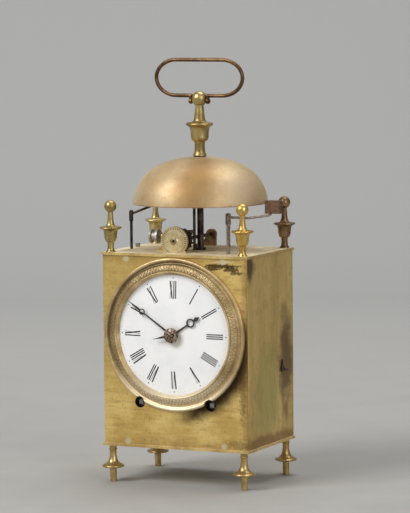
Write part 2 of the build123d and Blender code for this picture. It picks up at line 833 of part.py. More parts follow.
def alarm_cocks():
    back = alarm_cock_y + alarm_cock_thick
    above = top_z - alarm_z
    face = Circle(alarm_cock_r) & Pos(0, above + alarm_cock_r) * Rectangle(3 * alarm_cock_r, 2 * alarm_cock_r)
    cock = run_y(alarm_x, alarm_z, alarm_cock_y, back, face)
    wide, deep, thick = alarm_cock_foot
    cock += Pos(alarm_x, alarm_cock_y + deep / 2, top_z) * Box(wide, deep, thick, align=on_floor)
    boss = turned(
        (0, 0),
        (alarm_boss_r, 0),
        (alarm_boss_r - 0.8, alarm_boss_h - 0.3),
        (alarm_pivot_r + 0.4, alarm_boss_h),
        (0, alarm_boss_h),
    )
    cock += seen_from_front(alarm_x, alarm_cock_y, alarm_z) * boss
    bore = Circle(alarm_pivot_r + running)
    save("alarm_front_cock", cock - run_y(alarm_x, alarm_z, alarm_cock_y - alarm_boss_h, back, bore))

    rear = alarm_back_y + alarm_cock_thick
    rise = alarm_z - top_z
    r = alarm_back_r
    toe = (-alarm_back_reach, alarm_back_toe)
    face = outline((-alarm_back_reach, 0), (r, 0), (r, rise), (-r, rise), ((-r - 2.4, rise * 0.4), toe))
    near, far = alarm_back_y - alarm_back_proud, rear + alarm_back_proud
    bracket = run_y(alarm_x, top_z, alarm_back_y, rear, face)
    bracket += run_y(alarm_x, alarm_z, near, far, Circle(r))
    save("alarm_back_cock", bracket - run_y(alarm_x, alarm_z, near, far, bore))


def alarm_escapement():
    near = alarm_cock_y + alarm_cock_thick
    far = alarm_back_y - alarm_back_proud
    wheel = run_y(alarm_x, alarm_z, near + shake, far - shake, Circle(alarm_arbor_r))
    pivot_ends = (alarm_cock_y, far + alarm_cock_thick)
    wheel += run_y(alarm_x, alarm_z, *pivot_ends, Circle(alarm_pivot_r))
    wheel += run_y(alarm_x, alarm_z, crown_y, crown_y + crown_thick, Circle(crown_r))
    tips = crown_back + crown_tooth
    band = run_y(alarm_x, alarm_z, crown_y, tips, Circle(crown_r) - Circle(crown_r - crown_rim))
    slot = Pos(0, crown_r) * Rectangle(2 * pi * crown_r / crown_teeth * 0.62, 3 * crown_rim)
    for i in range(crown_teeth):
        band -= run_y(alarm_x, alarm_z, crown_back, tips, Rot(0, 0, 360 / crown_teeth * i) * slot)
    save("alarm_crown_wheel", wheel + band)

    verge = run_z(*verge_xy, verge_foot_z - potence_sheet, verge_top_z, Circle(verge_r))
    flag = Pos(verge_flag / 2, 0) * Rectangle(verge_flag, 0.8)
    for up, turn in ((verge_flag_z, -135), (-verge_flag_z, -45)):
        middle = alarm_z + up
        verge += run_z(*verge_xy, middle - 1.3, middle + 1.3, Rot(0, 0, turn) * flag)
    save("alarm_verge", verge)

    arm = Pos(alarm_hammer_reach / 2, 0) * Rectangle(alarm_hammer_reach, 1.6)
    bar = Pos(alarm_hammer_reach, 0) * Rectangle(3.0, 2 * alarm_hammer_half)
    face = Rot(0, 0, alarm_hammer_turn) * (arm + bar) + Circle(verge_r + 1.3)
    low = verge_top_z - 3.0
    save("alarm_hammer", run_z(*verge_xy, low, low + 2.4, face - Circle(verge_r + tight)))


def alarm_spool():
    right = spool_x + spool_long
    end = alarm_x - crown_r - 1.2
    spool = run_x(spool_y, spool_z, spool_x, right, Circle(spool_r - 1.5))
    spool += run_x(spool_y, spool_z, spool_x, spool_x + spool_flange, Circle(spool_r))
    spool += run_x(spool_y, spool_z, right - spool_flange, right, Circle(spool_r))
    spool += run_x(spool_y, spool_z, right, end, Circle(alarm_pivot_r))
    save("alarm_spool", spool)
    tall = spool_z - top_z
    upright = Pos(0, -tall / 2) * Rectangle(5.0, tall) + Circle(2.5) - Circle(alarm_pivot_r + running)
    cock_x = right + 2.6
    cock = run_x(spool_y, spool_z, cock_x, cock_x + 3.0, upright)
    cock += Pos(cock_x + 1.5, spool_y, top_z) * Box(6.0, 8.0, 1.2, align=on_floor)
    save("alarm_spool_cock", cock)
    square = Rectangle(set_square_size, set_square_size)
    save("set_square", run_z(*set_square_at, top_z, top_z + set_square_size, square))


def movement_frame():
    """The two movement plates with their bearings, pillars and brackets."""
    tall = movement_top - base_top
    middle = (base_top + movement_top) / 2
    face = Rectangle(2 * movement_half, tall)
    for sx in (-1, 1):
        for sz in (-1, 1):
            face -= Pos(sx * movement_half, sz * tall / 2) * Rectangle(movement_corner, movement_corner)
    front = run_y(case_x, middle, movement_front, train_front, face)
    back = run_y(case_x, middle, movement_back, movement_rear, face)
    small = pivot_r + running
    bearings = [(spot, small, small) for spot in (second, third, escape, pin_spot, lock_spot, fly_spot)]
    bearings += [(spot, winding_pivot_r + running, winding_pivot_r + running) for spot in (going, striking)]
    bearings.append((centre, centre_pipe_r + running, centre_pipe_r + running))
    bearings.append((pallet, small, arbor_r + 0.6))
    for spot, front_r, back_r in bearings:
        front -= run_y(*spot, movement_front, train_front, Circle(front_r))
        back -= run_y(*spot, movement_back, movement_rear, Circle(back_r))
    front += run_y(*minute_spot, hour_wheel_y - 0.6, movement_front, Circle(arbor_r))
    back += run_y(*count_spot, movement_rear, count_y + 3.5, Circle(arbor_r))
    save("movement_front_plate", front)
    save("movement_back_plate", back)
    pillars = []
    low = (movement_half - low_pillar[0], base_top + low_pillar[1])
    high = (movement_half - high_pillar[0], movement_top - high_pillar[1])
    for x, z in (low, high):
        for side in (-1, 1):
            pillars.append(run_y(case_x + side * x, z, train_front, movement_back, Circle(pillar_r)))
    pillars.append(run_y(case_x, base_top + middle_pillar_up, train_front, movement_back, Circle(pillar_r)))
    save("movement_pillars", *pillars)
    brackets = []
    for side in (-1, 1):
        x = case_x + side * bracket_x
        leg = run_y(x, base_top + 4, movement_front - sheet, movement_front, Rectangle(9, 8))
        foot = run_y(x, base_top + sheet / 2, movement_front - 5, movement_front, Rectangle(9, sheet))
        brackets.append(leg + foot)
    save("movement_brackets", *brackets)


def barrel(spot, phase, name):
    """A spring barrel with its great wheel and wound spring, and the winding arbor with its ratchet."""
    cap = drum_end - drum_wall
    shell = run_y(*spot, drum_y, drum_end, Circle(drum_r))
    shell -= run_y(*spot, drum_y, cap, Circle(drum_r - drum_wall))
    shell += run_y(*spot, great_y, drum_y, toothed(great_teeth, great_module, phase))
    shell -= run_y(*spot, great_y, drum_end, Circle(drum_arbor_r + running))
    coil = Circle(drum_r - drum_wall - tight) - Circle(drum_r * 0.55)
    save(f"{name}_barrel", shell, run_y(*spot, drum_y, cap - shake, coil))

    square_end = movement_front - 3.2
    rod = run_y(*spot, train_front + shake, movement_back - shake, Circle(drum_arbor_r))
    rod += run_y(*spot, square_end, movement_rear, Circle(winding_pivot_r))
    rod += run_y(*spot, front_y + 2.0, square_end, Rectangle(winding_square, winding_square))
    rod += run_y(*spot, drum_y + 1.0, cap - 1.0, Circle(drum_r * 0.25))
    points = []
    for i in range(ratchet_teeth):
        points.append(polar(ratchet_r - 1.6, 360 / ratchet_teeth * i))
        points.append(polar(ratchet_r, 360 / ratchet_teeth * (i + 0.1)))
    ratchet = make_face(Polyline(*points, close=True))
    ratchet_end = movement_front - 0.6
    rod += run_y(*spot, ratchet_end - ratchet_thick, ratchet_end, ratchet)
    save(f"{name}_winding_arbor", rod)


def clicks():
    pieces = []
    for spot, side in ((going, -1), (striking, 1)):
        nose = outline((0, click_r - 0.6), (click_reach, 0), (0, 0.6 - click_r))
        face = Rot(0, 0, -90 - side * 45) * nose + Circle(click_r)
        x, z = spot[0] + side * click_off, spot[1] + click_off
        pieces.append(run_y(x, z, movement_front - 0.6 - ratchet_thick, movement_front, face))
    save("clicks", *pieces)


def going_train():
    great_phase = 0.0
    second_phase = 3.0
    centre_phase = 0.0
    third_phase = 0.0
    barrel(going, great_phase, "going")

    phase = in_mesh(going, second, great_teeth, first_pinion_teeth, great_phase)
    wheel = arbor(second)
    wheel += run_y(*second, great_y - 1, great_y + 3, toothed(first_pinion_teeth, great_module, phase))
    face = crossed(toothed(second_teeth, great_module, second_phase), 17.0, 5.0, 3.2)
    save("second_wheel", wheel + run_y(*second, second_y, second_y + wheel_thick, face))

    phase = in_mesh(second, centre, second_teeth, centre_pinion_teeth, second_phase)
    wheel = run_y(*centre, minute_y, movement_rear, Circle(centre_pipe_r))
    wheel += run_y(*centre, train_front + shake, movement_back - shake, Circle(centre_pipe_r + 0.9))
    wheel += leaves(centre, second_y, centre_pinion_teeth, great_module, phase)
    face = crossed(toothed(centre_teeth, centre_module, centre_phase), 14.2, 5.0, 2.8)
    wheel += run_y(*centre, centre_y, centre_y + wheel_thick, face)
    save("centre_wheel", wheel - run_y(*centre, minute_y, movement_rear, Circle(alarm_rod_r + running)))

    phase = in_mesh(centre, third, centre_teeth, third_pinion_teeth, centre_phase)
    wheel = arbor(third) + leaves(third, centre_y, third_pinion_teeth, centre_module, phase)
    face = crossed(toothed(third_teeth, third_module, third_phase), 11.2, 4.0, 2.4)
    save("third_wheel", wheel + run_y(*third, third_y, third_y + wheel_thick, face))

    phase = in_mesh(third, escape, third_teeth, escape_pinion_teeth, third_phase)
    wheel = arbor(escape) + leaves(escape, third_y, escape_pinion_teeth, third_module, phase)
    points = []
    for i in range(escape_teeth):
        points.append(polar(escape_r - 2.2, 360 / escape_teeth * (i - 0.15)))
        points.append(polar(escape_r, 360 / escape_teeth * i))
        points.append(polar(escape_r - 2.2, 360 / escape_teeth * (i + 0.3)))
    face = make_face(Polyline(*points, close=True))
    save("escape_wheel", wheel + run_y(*escape, escape_y, escape_y + wheel_thick, face))


def motion_work():
    cannon_phase = 0.0
    motion_phase = 5.0
    face = toothed(cannon_teeth, cannon_module, cannon_phase) - Circle(centre_pipe_r)
    save("cannon_pinion", run_y(*centre, cannon_y, cannon_y + motion_thick, face))
    bore = Circle(arbor_r + running)
    phase = in_mesh(centre, minute_spot, cannon_teeth, minute_teeth, cannon_phase)
    face = toothed(minute_teeth, cannon_module, phase) - bore
    wheel = run_y(*minute_spot, cannon_y, cannon_y + motion_thick, face)
    face = toothed(minute_pinion_teeth, hour_module, motion_phase) - bore
    save("minute_wheel", wheel + run_y(*minute_spot, hour_wheel_y, cannon_y, face))
    phase = in_mesh(minute_spot, centre, minute_pinion_teeth, hour_teeth, motion_phase)
    hour_wheel_end = hour_wheel_y + motion_thick
    wheel = run_y(*centre, hour_wheel_y, hour_wheel_end, toothed(hour_teeth, hour_module, phase))
    wheel += run_y(*centre, hour_y, hour_wheel_y, Circle(hour_pipe_r))
    save("hour_wheel", wheel - run_y(*centre, hour_y, hour_wheel_end, Circle(centre_pipe_r + running)))


def strike_train():
    great_phase = 3.0
    pin_phase = 2.0
    count_phase = 0.0
    lock_phase = 0.0
    barrel(striking, great_phase, "strike")

    phase = in_mesh(striking, pin_spot, great_teeth, pin_pinion_teeth, great_phase)
    wheel = arbor(pin_spot)
    wheel += run_y(*pin_spot, great_y - 1, great_y + 3, toothed(pin_pinion_teeth, great_module, phase))
    face = crossed(toothed(pin_teeth, pin_module, pin_phase), 13.4, 4.6, 2.8)
    wheel += run_y(*pin_spot, pin_y, pin_y + wheel_thick, face)
    for i in range(strike_pin_count):
        spot = beyond(pin_spot, strike_pin_out, 360 / strike_pin_count * i)
        wheel += run_y(*spot, pin_y - 2.4, pin_y, Circle(pivot_r))
    wheel += run_y(*pin_spot, movement_rear, count_y + 2.1, Circle(pivot_r))
    face = toothed(count_pinion_teeth, count_module, count_phase)
    save("pin_wheel", wheel + run_y(*pin_spot, count_y - 0.3, count_y + 1.7, face))

    phase = in_mesh(pin_spot, count_spot, count_pinion_teeth, count_teeth, count_phase)
    bore = Circle(arbor_r + running)
    face = toothed(count_teeth, count_module, phase) - bore
    wheel = run_y(*count_spot, count_y, count_y + motion_thick, face)
    plan = Circle(count_r) - bore
    blows = range(1, 13)
    turn = 0.0
    for count in blows:
        turn += 360 * (count + 1) / (sum(blows) + len(blows))
        plan -= Rot(0, 0, turn) * Pos(count_r, 0) * Rectangle(4.0, 1.8)
    disc_y = count_y + motion_thick
    save("count_wheel", wheel + run_y(*count_spot, disc_y, disc_y + 1.4, plan))

    phase = in_mesh(pin_spot, lock_spot, pin_teeth, lock_pinion_teeth, pin_phase)
    wheel = arbor(lock_spot) + leaves(lock_spot, pin_y, lock_pinion_teeth, pin_module, phase)
    face = crossed(toothed(lock_teeth, lock_module, lock_phase), 11.2, 4.0, 2.4)
    save("locking_wheel", wheel + run_y(*lock_spot, third_y, third_y + wheel_thick, face))

    phase = in_mesh(lock_spot, fly_spot, lock_teeth, fly_pinion_teeth, lock_phase)
    fly = arbor(fly_spot) + leaves(fly_spot, third_y, fly_pinion_teeth, lock_module, phase)
    vane = Rot(0, 0, 25) * (Rectangle(fly_wide, 0.7) + Circle(arbor_r + 0.9))
    fly_y = third_y + 6.0
    save("fly", fly + run_y(*fly_spot, fly_y, fly_y + fly_long, vane))


def escapement():
    cock_y = pendulum_y + 4.6
    cock_end = cock_y + 1.6
    body = run_y(*pallet, train_front + shake, cock_y - shake, Circle(arbor_r))
    body += run_y(*pallet, movement_front, cock_end, Circle(pivot_r))
    reach = escape_r + 1.4
    x, z = reach * sin(radians(pallet_span)), reach * cos(radians(pallet_span)) - pallet_z_up
    under = reach - pallet_z_up + 0.3
    anchor = outline((-x, z), (0, under), (x, z), (x + 2.2, z + 0.8), (0, 2.4), (-x - 2.2, z + 0.8))
    body += run_y(*pallet, escape_y, escape_y + wheel_thick, anchor + Circle(2.4))
    save("pallets", body)

    rod_low = pallet[1] - pendulum_length - bob_r + 3.0
    rod = run_y(*pallet, pendulum_y - 1.6, pendulum_y + 1.6, Circle(2.6) - Circle(arbor_r))
    rod += run_z(pallet[0], pendulum_y, rod_low, pallet[1] - 2.2, Circle(pendulum_rod_r))
    save("pendulum_rod", rod)
    bob_z = pallet[1] - pendulum_length
    half = bob_thick / 2
    lens = turned((0, -half), (bob_r * 0.6, -half * 0.8), (bob_r, 0), (bob_r * 0.6, half * 0.8), (0, half))
    bob = seen_from_front(pallet[0], pendulum_y, bob_z) * lens
    bob -= run_z(pallet[0], pendulum_y, bob_z - bob_r, bob_z + bob_r, Circle(pendulum_rod_r + tight))
    save("pendulum_bob", bob)
    cock = run_y(*pallet, cock_y, cock_end, Rectangle(*pendulum_cock_size) - Circle(pivot_r + running))
    for side in (-1, 1):
        x = pallet[0] + side * pendulum_post_x
        cock += run_y(x, pallet[1], movement_rear, cock_y, Circle(pendulum_post_r))
    save("pendulum_cock", cock)


case_plates()
corner_pieces()
doors()
front_plate_and_lugs()
dial_and_bezel()
hands()
bell_and_post()
handle_pieces()
hammers()
potences()
alarm_cocks()
alarm_escapement()
alarm_spool()
movement_frame()
going_train()
motion_work()
strike_train()
clicks()
escapement()
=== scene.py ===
from math import acos, asin, atan2, cos, pi, radians, sin, sqrt

import bpy
from mathutils import Matrix, Vector


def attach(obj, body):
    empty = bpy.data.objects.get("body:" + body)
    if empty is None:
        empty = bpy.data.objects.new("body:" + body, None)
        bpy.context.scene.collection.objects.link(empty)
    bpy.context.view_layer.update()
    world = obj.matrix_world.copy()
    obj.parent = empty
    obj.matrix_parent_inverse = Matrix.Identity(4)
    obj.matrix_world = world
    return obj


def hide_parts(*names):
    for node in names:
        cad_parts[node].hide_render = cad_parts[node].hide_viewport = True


# The looks of a capucine clock, in metres, in the part's own frame.

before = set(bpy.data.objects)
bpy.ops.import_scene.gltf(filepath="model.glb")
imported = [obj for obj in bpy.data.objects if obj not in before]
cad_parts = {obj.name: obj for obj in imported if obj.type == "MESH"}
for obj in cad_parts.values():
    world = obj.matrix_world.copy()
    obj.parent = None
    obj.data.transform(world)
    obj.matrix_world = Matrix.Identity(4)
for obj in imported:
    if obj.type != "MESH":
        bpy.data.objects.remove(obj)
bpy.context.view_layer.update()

MM = 0.001
CASE_X = -0.002
CASE_HALF = 0.055
CASE_MID_Z = 0.094
CASE_HALF_Z = 0.067
FRONT_Y = -0.0393
DIAL_Z = 0.1061
TOP_Z = 0.1618
BELL_RIM_Z = 0.1947
COCK_X, COCK_Z = -0.0075, 0.1699
BAND_IN, BAND_OUT = 0.0446, 0.0490
LEAVES = 116
COCK_TICKS = 40
STAGE_TURN = radians(25.2)
CORNERS = [(CASE_X + sx * 0.0505, sy * 0.0357) for sx in (-1, 1) for sy in (-1, 1)]


def linear(r, g, b):
    """A colour given as it looks on a screen, 0 to 255, as linear light."""
    def one(c):
        c /= 255
        return c / 12.92 if c <= 0.04045 else ((c + 0.055) / 1.055) ** 2.4
    return (one(r), one(g), one(b), 1.0)


class Surface:
    """A material built node by node, in the part's frame."""

    def __init__(self, name, roughness=0.4, metallic=1.0):
        self.material = bpy.data.materials.new(name)
        self.material.use_nodes = True
        self.tree = self.material.node_tree
        self.tree.nodes.clear()
        self.shader = self.add("ShaderNodeBsdfPrincipled")
        self.shader.inputs["Roughness"].default_value = roughness
        self.shader.inputs["Metallic"].default_value = metallic
        output = self.add("ShaderNodeOutputMaterial")
        self.tree.links.new(self.shader.outputs[0], output.inputs["Surface"])
        self.place = self.add("ShaderNodeTexCoord").outputs["Object"]

    def add(self, kind, **settings):
        node = self.tree.nodes.new(kind)
        for key, value in settings.items():
            setattr(node, key, value)
        return node

    def put(self, socket, value):
        if isinstance(value, bpy.types.NodeSocket):
            self.tree.links.new(value, socket)
        else:
            socket.default_value = value

    def math(self, operation, a, b=0.0, clamp=False):
        node = self.add("ShaderNodeMath", operation=operation, use_clamp=clamp)
        self.put(node.inputs[0], a)
        self.put(node.inputs[1], b)
        return node.outputs[0]

    def times(self, a, b):
        return self.math("MULTIPLY", a, b)

    def less(self, a, b):
        return self.math("SUBTRACT", a, b)

    def vector(self, operation, a, b):
        node = self.add("ShaderNodeVectorMath", operation=operation)
        self.put(node.inputs[0], a)
        self.put(node.inputs[1], b)
        return node.outputs["Value" if operation == "LENGTH" else "Vector"]

    def stretched(self, x, y, z):
        return self.vector("MULTIPLY", self.place, (x, y, z))

    def noise(self, size, detail=6.0, roughness=0.6, place=None, distortion=0.0):
        """Noise whose features are about size metres wide."""
        node = self.add("ShaderNodeTexNoise")
        self.put(node.inputs["Vector"], place or self.place)
        node.inputs["Scale"].default_value = 1.0 / size
        node.inputs["Detail"].default_value = detail
        node.inputs["Roughness"].default_value = roughness
        node.inputs["Distortion"].default_value = distortion
        return node.outputs["Fac"]

    def cells(self, size, place=None):
        node = self.add("ShaderNodeTexVoronoi")
        self.put(node.inputs["Vector"], place or self.place)
        node.inputs["Scale"].default_value = 1.0 / size
        return node.outputs["Distance"]

    def band(self, value, low, high, to_low=0.0, to_high=1.0):
        """value from low..high carried smoothly to to_low..to_high."""
        node = self.add("ShaderNodeMapRange", interpolation_type="SMOOTHSTEP")
        self.put(node.inputs["Value"], value)
        node.inputs["From Min"].default_value = low
        node.inputs["From Max"].default_value = high
        node.inputs["To Min"].default_value = to_low
        node.inputs["To Max"].default_value = to_high
        return node.outputs["Result"]

    def mix(self, share, a, b):
        node = self.add("ShaderNodeMix", data_type="RGBA")
        self.put(node.inputs["Factor"], share)
        self.put(node.inputs["A"], a)
        self.put(node.inputs["B"], b)
        return node.outputs["Result"]

    def stain(self, tone, mask, share, colour):
        """tone with a colour laid over it where the mask is 1, as far as share."""
        return self.mix(self.times(mask, share), tone, colour)

    def ring(self, reach, inner, outer, soft):
        """1 where reach is between two radii, with soft edges inside them."""
        rise = self.band(reach, inner, inner + soft)
        fall = self.band(reach, outer - soft, outer, 1.0, 0.0)
        return self.times(rise, fall)

    def blob(self, centre, radii, wobble=0.25, soft=0.45, size=0.008):
        """1 inside a ragged spot at centre, 0 outside it."""
        away = self.vector("SUBTRACT", self.place, centre)
        away = self.vector("DIVIDE", away, radii)
        reach = self.vector("LENGTH", away, (0, 0, 0))
        ragged = self.unsettled(reach, size, 5.0, 4 * wobble)
        return self.band(ragged, 1.0 - soft, 1.0 + soft, 1.0, 0.0)

    def axes(self):
        node = self.add("ShaderNodeSeparateXYZ")
        self.put(node.inputs[0], self.place)
        return node.outputs

    def polar(self, x, z):
        """Offsets in x and z from a point, and the distance from it."""
        axes = self.axes()
        dx = self.less(axes["X"], x)
        dz = self.less(axes["Z"], z)
        return dx, dz, self.math("SQRT", self.math("ADD", self.times(dx, dx), self.times(dz, dz)))

    def unsettled(self, value, size, detail, amount):
        """value moved up and down by noise, by half the amount at most."""
        return self.math("ADD", value, self.times(self.less(self.noise(size, detail), 0.5), amount))

    def colour(self, value):
        self.put(self.shader.inputs["Base Color"], value)

    def rough(self, value):
        self.put(self.shader.inputs["Roughness"], value)

    def bump(self, height, depth, strength=1.0):
        node = self.add("ShaderNodeBump")
        self.put(node.inputs["Height"], height)
        node.inputs["Distance"].default_value = depth
        node.inputs["Strength"].default_value = strength
        before = self.shader.inputs["Normal"].links
        if before:
            self.tree.links.new(before[0].from_socket, node.inputs["Normal"])
        self.tree.links.new(node.outputs["Normal"], self.shader.inputs["Normal"])


def aged_brass(
    name, light, deep, stain, roughness=0.42, patch=0.03, speck=0.0016, specks=0.5, metallic=0.85
):
    """Brass that has gone dull in patches, with brown specks and fine rubbed marks."""
    s = Surface(name, roughness, metallic)
    cloud = s.noise(patch, 7.0, 0.62)
    tone = s.mix(s.band(cloud, 0.38, 0.64), light, deep)
    fine = s.noise(patch / 9, 5.0, 0.7)
    tone = s.stain(tone, s.band(fine, 0.52, 0.72), 0.55, deep)
    tone = s.stain(tone, s.band(s.noise(speck, 3.0, 0.6), 0.60, 0.72), specks, stain)
    s.tone = tone
    grain = s.noise(0.0011, 4.0, 0.7)
    uneven = s.times(s.less(cloud, 0.5), 0.35)
    scuff = s.times(s.less(grain, 0.5), 0.22)
    s.rough(s.math("ADD", s.math("ADD", uneven, scuff), roughness, clamp=True))
    s.bump(s.noise(0.012, 3.0, 0.5), 0.00035, 0.5)
    s.bump(grain, 0.00004, 0.6)
    s.colour(tone)
    return s


def front_brass():
    """The front plate: rubbed level, with a painted shadow of the bezel beside it at its lower right, and
    ragged marks at its upper right.
    """
    s = aged_brass(
        "front_brass", linear(238, 208, 132), linear(206, 174, 102), linear(112, 84, 48),
        0.5, 0.022, 0.0012, 0.6,
    )
    dx, dz, away = s.polar(CASE_X, DIAL_Z)
    rubbed = s.noise(0.006, 7.0, 0.72, place=s.stretched(0.35, 1.0, 2.6))
    tone = s.stain(s.tone, s.band(rubbed, 0.5, 0.68), 0.5, linear(172, 138, 74))
    tone = s.stain(tone, s.band(rubbed, 0.46, 0.3), 0.45, linear(250, 226, 150))
    tone = s.mix(s.band(s.less(dz, dx), -0.02, 0.10, 0.0, 0.42), tone, linear(170, 142, 80))
    # Painted shadow: a dark ragged crescent just outside the bezel on its right and lower right, where
    # the bezel's shadow falls.
    toward = s.less(s.times(dx, 0.80), s.times(dz, 0.6))
    shadow_reach = s.unsettled(away, 0.006, 6.0, 0.006)
    bezel_shadow = s.times(s.band(shadow_reach, 0.0555, 0.0655, 1.0, 0.0), s.band(toward, 0.030, 0.047))
    tone = s.stain(tone, bezel_shadow, 0.97, linear(42, 26, 12))
    up = s.math("ABSOLUTE", s.math("DIVIDE", s.less(s.axes()["Z"], CASE_MID_Z), CASE_HALF_Z))
    edge = s.math("MAXIMUM", s.math("DIVIDE", dx, CASE_HALF), s.times(up, 0.97))
    ragged = s.unsettled(edge, 0.01, 5.0, 0.12)
    tone = s.stain(tone, s.band(ragged, 0.86, 1.02), 0.55, linear(134, 98, 52))
    for x, z, wide, tall, share in (
        (0.034, 0.1548, 0.013, 0.0013, 0.9),
        (0.026, 0.1528, 0.008, 0.0012, 0.85),
        (0.041, 0.1528, 0.006, 0.0016, 0.85),
        (0.045, 0.1503, 0.005, 0.0012, 0.75),
        (0.0495, 0.082, 0.0028, 0.030, 0.45),
        (0.047, 0.0315, 0.008, 0.003, 0.4),
    ):
        mark = s.blob((x, FRONT_Y, z), (wide, 0.01, tall), 0.6, 0.35, 0.0022)
        tone = s.stain(tone, mark, share, linear(60, 44, 22))
    streak = s.blob((0.036, FRONT_Y, 0.1576), (0.007, 0.01, 0.0008), 0.5, 0.5, 0.003)
    tone = s.stain(tone, streak, 0.7, linear(232, 216, 170))
    for side in (-1, 1):
        for height in (0.030, 0.1578):
            centre = (CASE_X + side * 0.037, FRONT_Y, height)
            rivet = s.blob(centre, (0.0021, 0.01, 0.0021), 0.2, 0.4, 0.0014)
            tone = s.stain(tone, rivet, 0.8, linear(214, 206, 172))
    s.colour(tone)
    s.bump(rubbed, 0.00006, 0.6)
    return s.material


def plate_brass():
    """The base and top plates: dull upper faces, painted paler as painted light from above, and rubbed
    edges.
    """
    s = aged_brass(
        "plate_brass", linear(222, 194, 130), linear(184, 154, 94), linear(96, 72, 38),
        0.5, 0.02, 0.0012, 0.5, 0.5,
    )
    facing = s.add("ShaderNodeSeparateXYZ")
    s.put(facing.inputs[0], s.add("ShaderNodeNewGeometry").outputs["True Normal"])
    upward = s.math("ABSOLUTE", facing.outputs["Z"])
    # Painted light: the dull colour of the upward faces is paler than the metal, to stand in for the
    # light that falls on them from above.
    dull = s.mix(s.band(s.noise(0.018, 6.0), 0.36, 0.66), linear(246, 230, 192), linear(200, 180, 140))
    s.colour(s.mix(s.band(upward, 0.5, 0.9), s.tone, dull))
    s.rough(s.band(upward, 0.5, 0.9, 0.5, 0.62))
    s.put(s.shader.inputs["Metallic"], s.band(upward, 0.5, 0.9, 0.6, 0.12))
    return s.material


def side_brass():
    """The doors: brushed upright, with a brown mark behind the catch and along the foot."""
    s = Surface("side_brass", 0.42, 0.85)
    streaks = s.noise(0.022, 6.0, 0.6, place=s.stretched(1.0, 1.0, 0.14))
    cloud = s.noise(0.035, 6.0, 0.6)
    tone = s.mix(s.band(streaks, 0.34, 0.68), linear(236, 204, 130), linear(208, 180, 110))
    tone = s.stain(tone, s.band(cloud, 0.46, 0.68), 0.5, linear(178, 142, 84))
    fine = s.noise(0.004, 6.0, 0.7, place=s.stretched(1.0, 1.0, 0.5))
    tone = s.stain(tone, s.band(fine, 0.5, 0.7), 0.4, linear(150, 120, 70))
    side = CASE_X + CASE_HALF
    for centre, radii, colour, share in (
        ((side, -0.004, 0.062), (0.02, 0.018, 0.03), linear(176, 172, 100), 0.5),
        ((side, 0.027, 0.086), (0.02, 0.011, 0.034), linear(92, 62, 42), 0.8),
        ((side, -0.034, 0.154), (0.02, 0.009, 0.010), linear(66, 36, 20), 0.85),
        ((side, 0.0, 0.030), (0.02, 0.06, 0.0045), linear(132, 76, 38), 0.6),
    ):
        tone = s.stain(tone, s.blob(centre, radii, 0.45, 0.5, 0.012), share, colour)
    s.colour(s.stain(tone, s.band(s.noise(0.0013, 3.0), 0.60, 0.72), 0.45, linear(84, 60, 28)))
    s.rough(s.band(streaks, 0.3, 0.7, 0.36, 0.5))
    s.bump(s.noise(0.015, 3.0), 0.0005, 0.5)
    s.bump(s.noise(0.001, 4.0, place=s.stretched(1.0, 1.0, 0.1)), 0.00003, 0.5)
    return s.material


def bell_metal():
    """The bell: matt, with painted shade in front and painted highlights at both sides, a brown rim and
    turning marks.
    """
    s = aged_brass(
        "bell_metal", linear(208, 184, 144), linear(190, 160, 116), linear(122, 92, 58),
        0.56, 0.03, 0.0022, 0.35, 0.6,
    )
    tone = s.tone
    # Painted light: the brown patch in front is painted shade and the pale patches at left and right are
    # painted highlights; the faint patch near the top makes it browner there.
    for centre, radii, colour, share in (
        ((0.013, -0.036, 0.214), (0.011, 0.03, 0.030), linear(150, 112, 58), 0.75),
        ((-0.004, -0.030, 0.226), (0.020, 0.02, 0.008), linear(160, 124, 76), 0.25),
        ((-0.040, -0.020, 0.204), (0.010, 0.03, 0.022), linear(232, 214, 184), 0.6),
        ((0.040, -0.020, 0.206), (0.010, 0.02, 0.016), linear(224, 202, 168), 0.5),
    ):
        tone = s.stain(tone, s.blob(centre, radii, 0.2, 0.7, 0.02), share, colour)
    ragged = s.math("ADD", s.axes()["Z"], s.times(s.noise(0.004, 5.0), 0.0008))
    rim = s.band(ragged, BELL_RIM_Z + 0.0006, BELL_RIM_Z + 0.0013, 1.0, 0.0)
    s.colour(s.stain(tone, rim, 0.7, linear(138, 92, 58)))
    s.bump(s.noise(0.02, 2.0, place=s.stretched(1.0, 1.0, 60.0)), 0.00003, 0.5)
    s.bump(s.band(s.cells(0.004), 0.0, 0.18), 0.00004, 0.5)
    return s.material


def turned_brass(name, light, deep, stain, roughness):
    s = aged_brass(name, light, deep, stain, roughness, 0.008, 0.0008, 0.4)
    s.bump(s.noise(0.004, 2.0, place=s.stretched(1.0, 1.0, 30.0)), 0.00003, 0.5)
    return s.material


def cock_brass():
    """The alarm's front cock, with fine ticks cut round its edge and painted shade in the hole at its
    centre.
    """
    s = aged_brass(
        "cock_brass", linear(228, 212, 170), linear(190, 172, 126), linear(84, 66, 40),
        0.45, 0.006, 0.0008, 0.6,
    )
    dx, dz, reach = s.polar(COCK_X, COCK_Z)
    ticks = s.math("PINGPONG", s.times(s.math("ARCTAN2", dz, dx), COCK_TICKS / (2 * pi)), 0.5)
    cut = s.times(s.band(ticks, 0.10, 0.22, 1.0, 0.0), s.ring(reach, 0.0078, 0.0098, 0.0002))
    # Painted shade: a dark disc in the middle of the cock where its hole goes in.
    hole = s.band(reach, 0.0022, 0.0027, 1.0, 0.0)
    tone = s.stain(s.tone, cut, 0.8, linear(66, 50, 28))
    s.colour(s.stain(tone, hole, 0.6, linear(58, 44, 26)))
    s.bump(cut, -0.00015, 0.8)
    return s.material


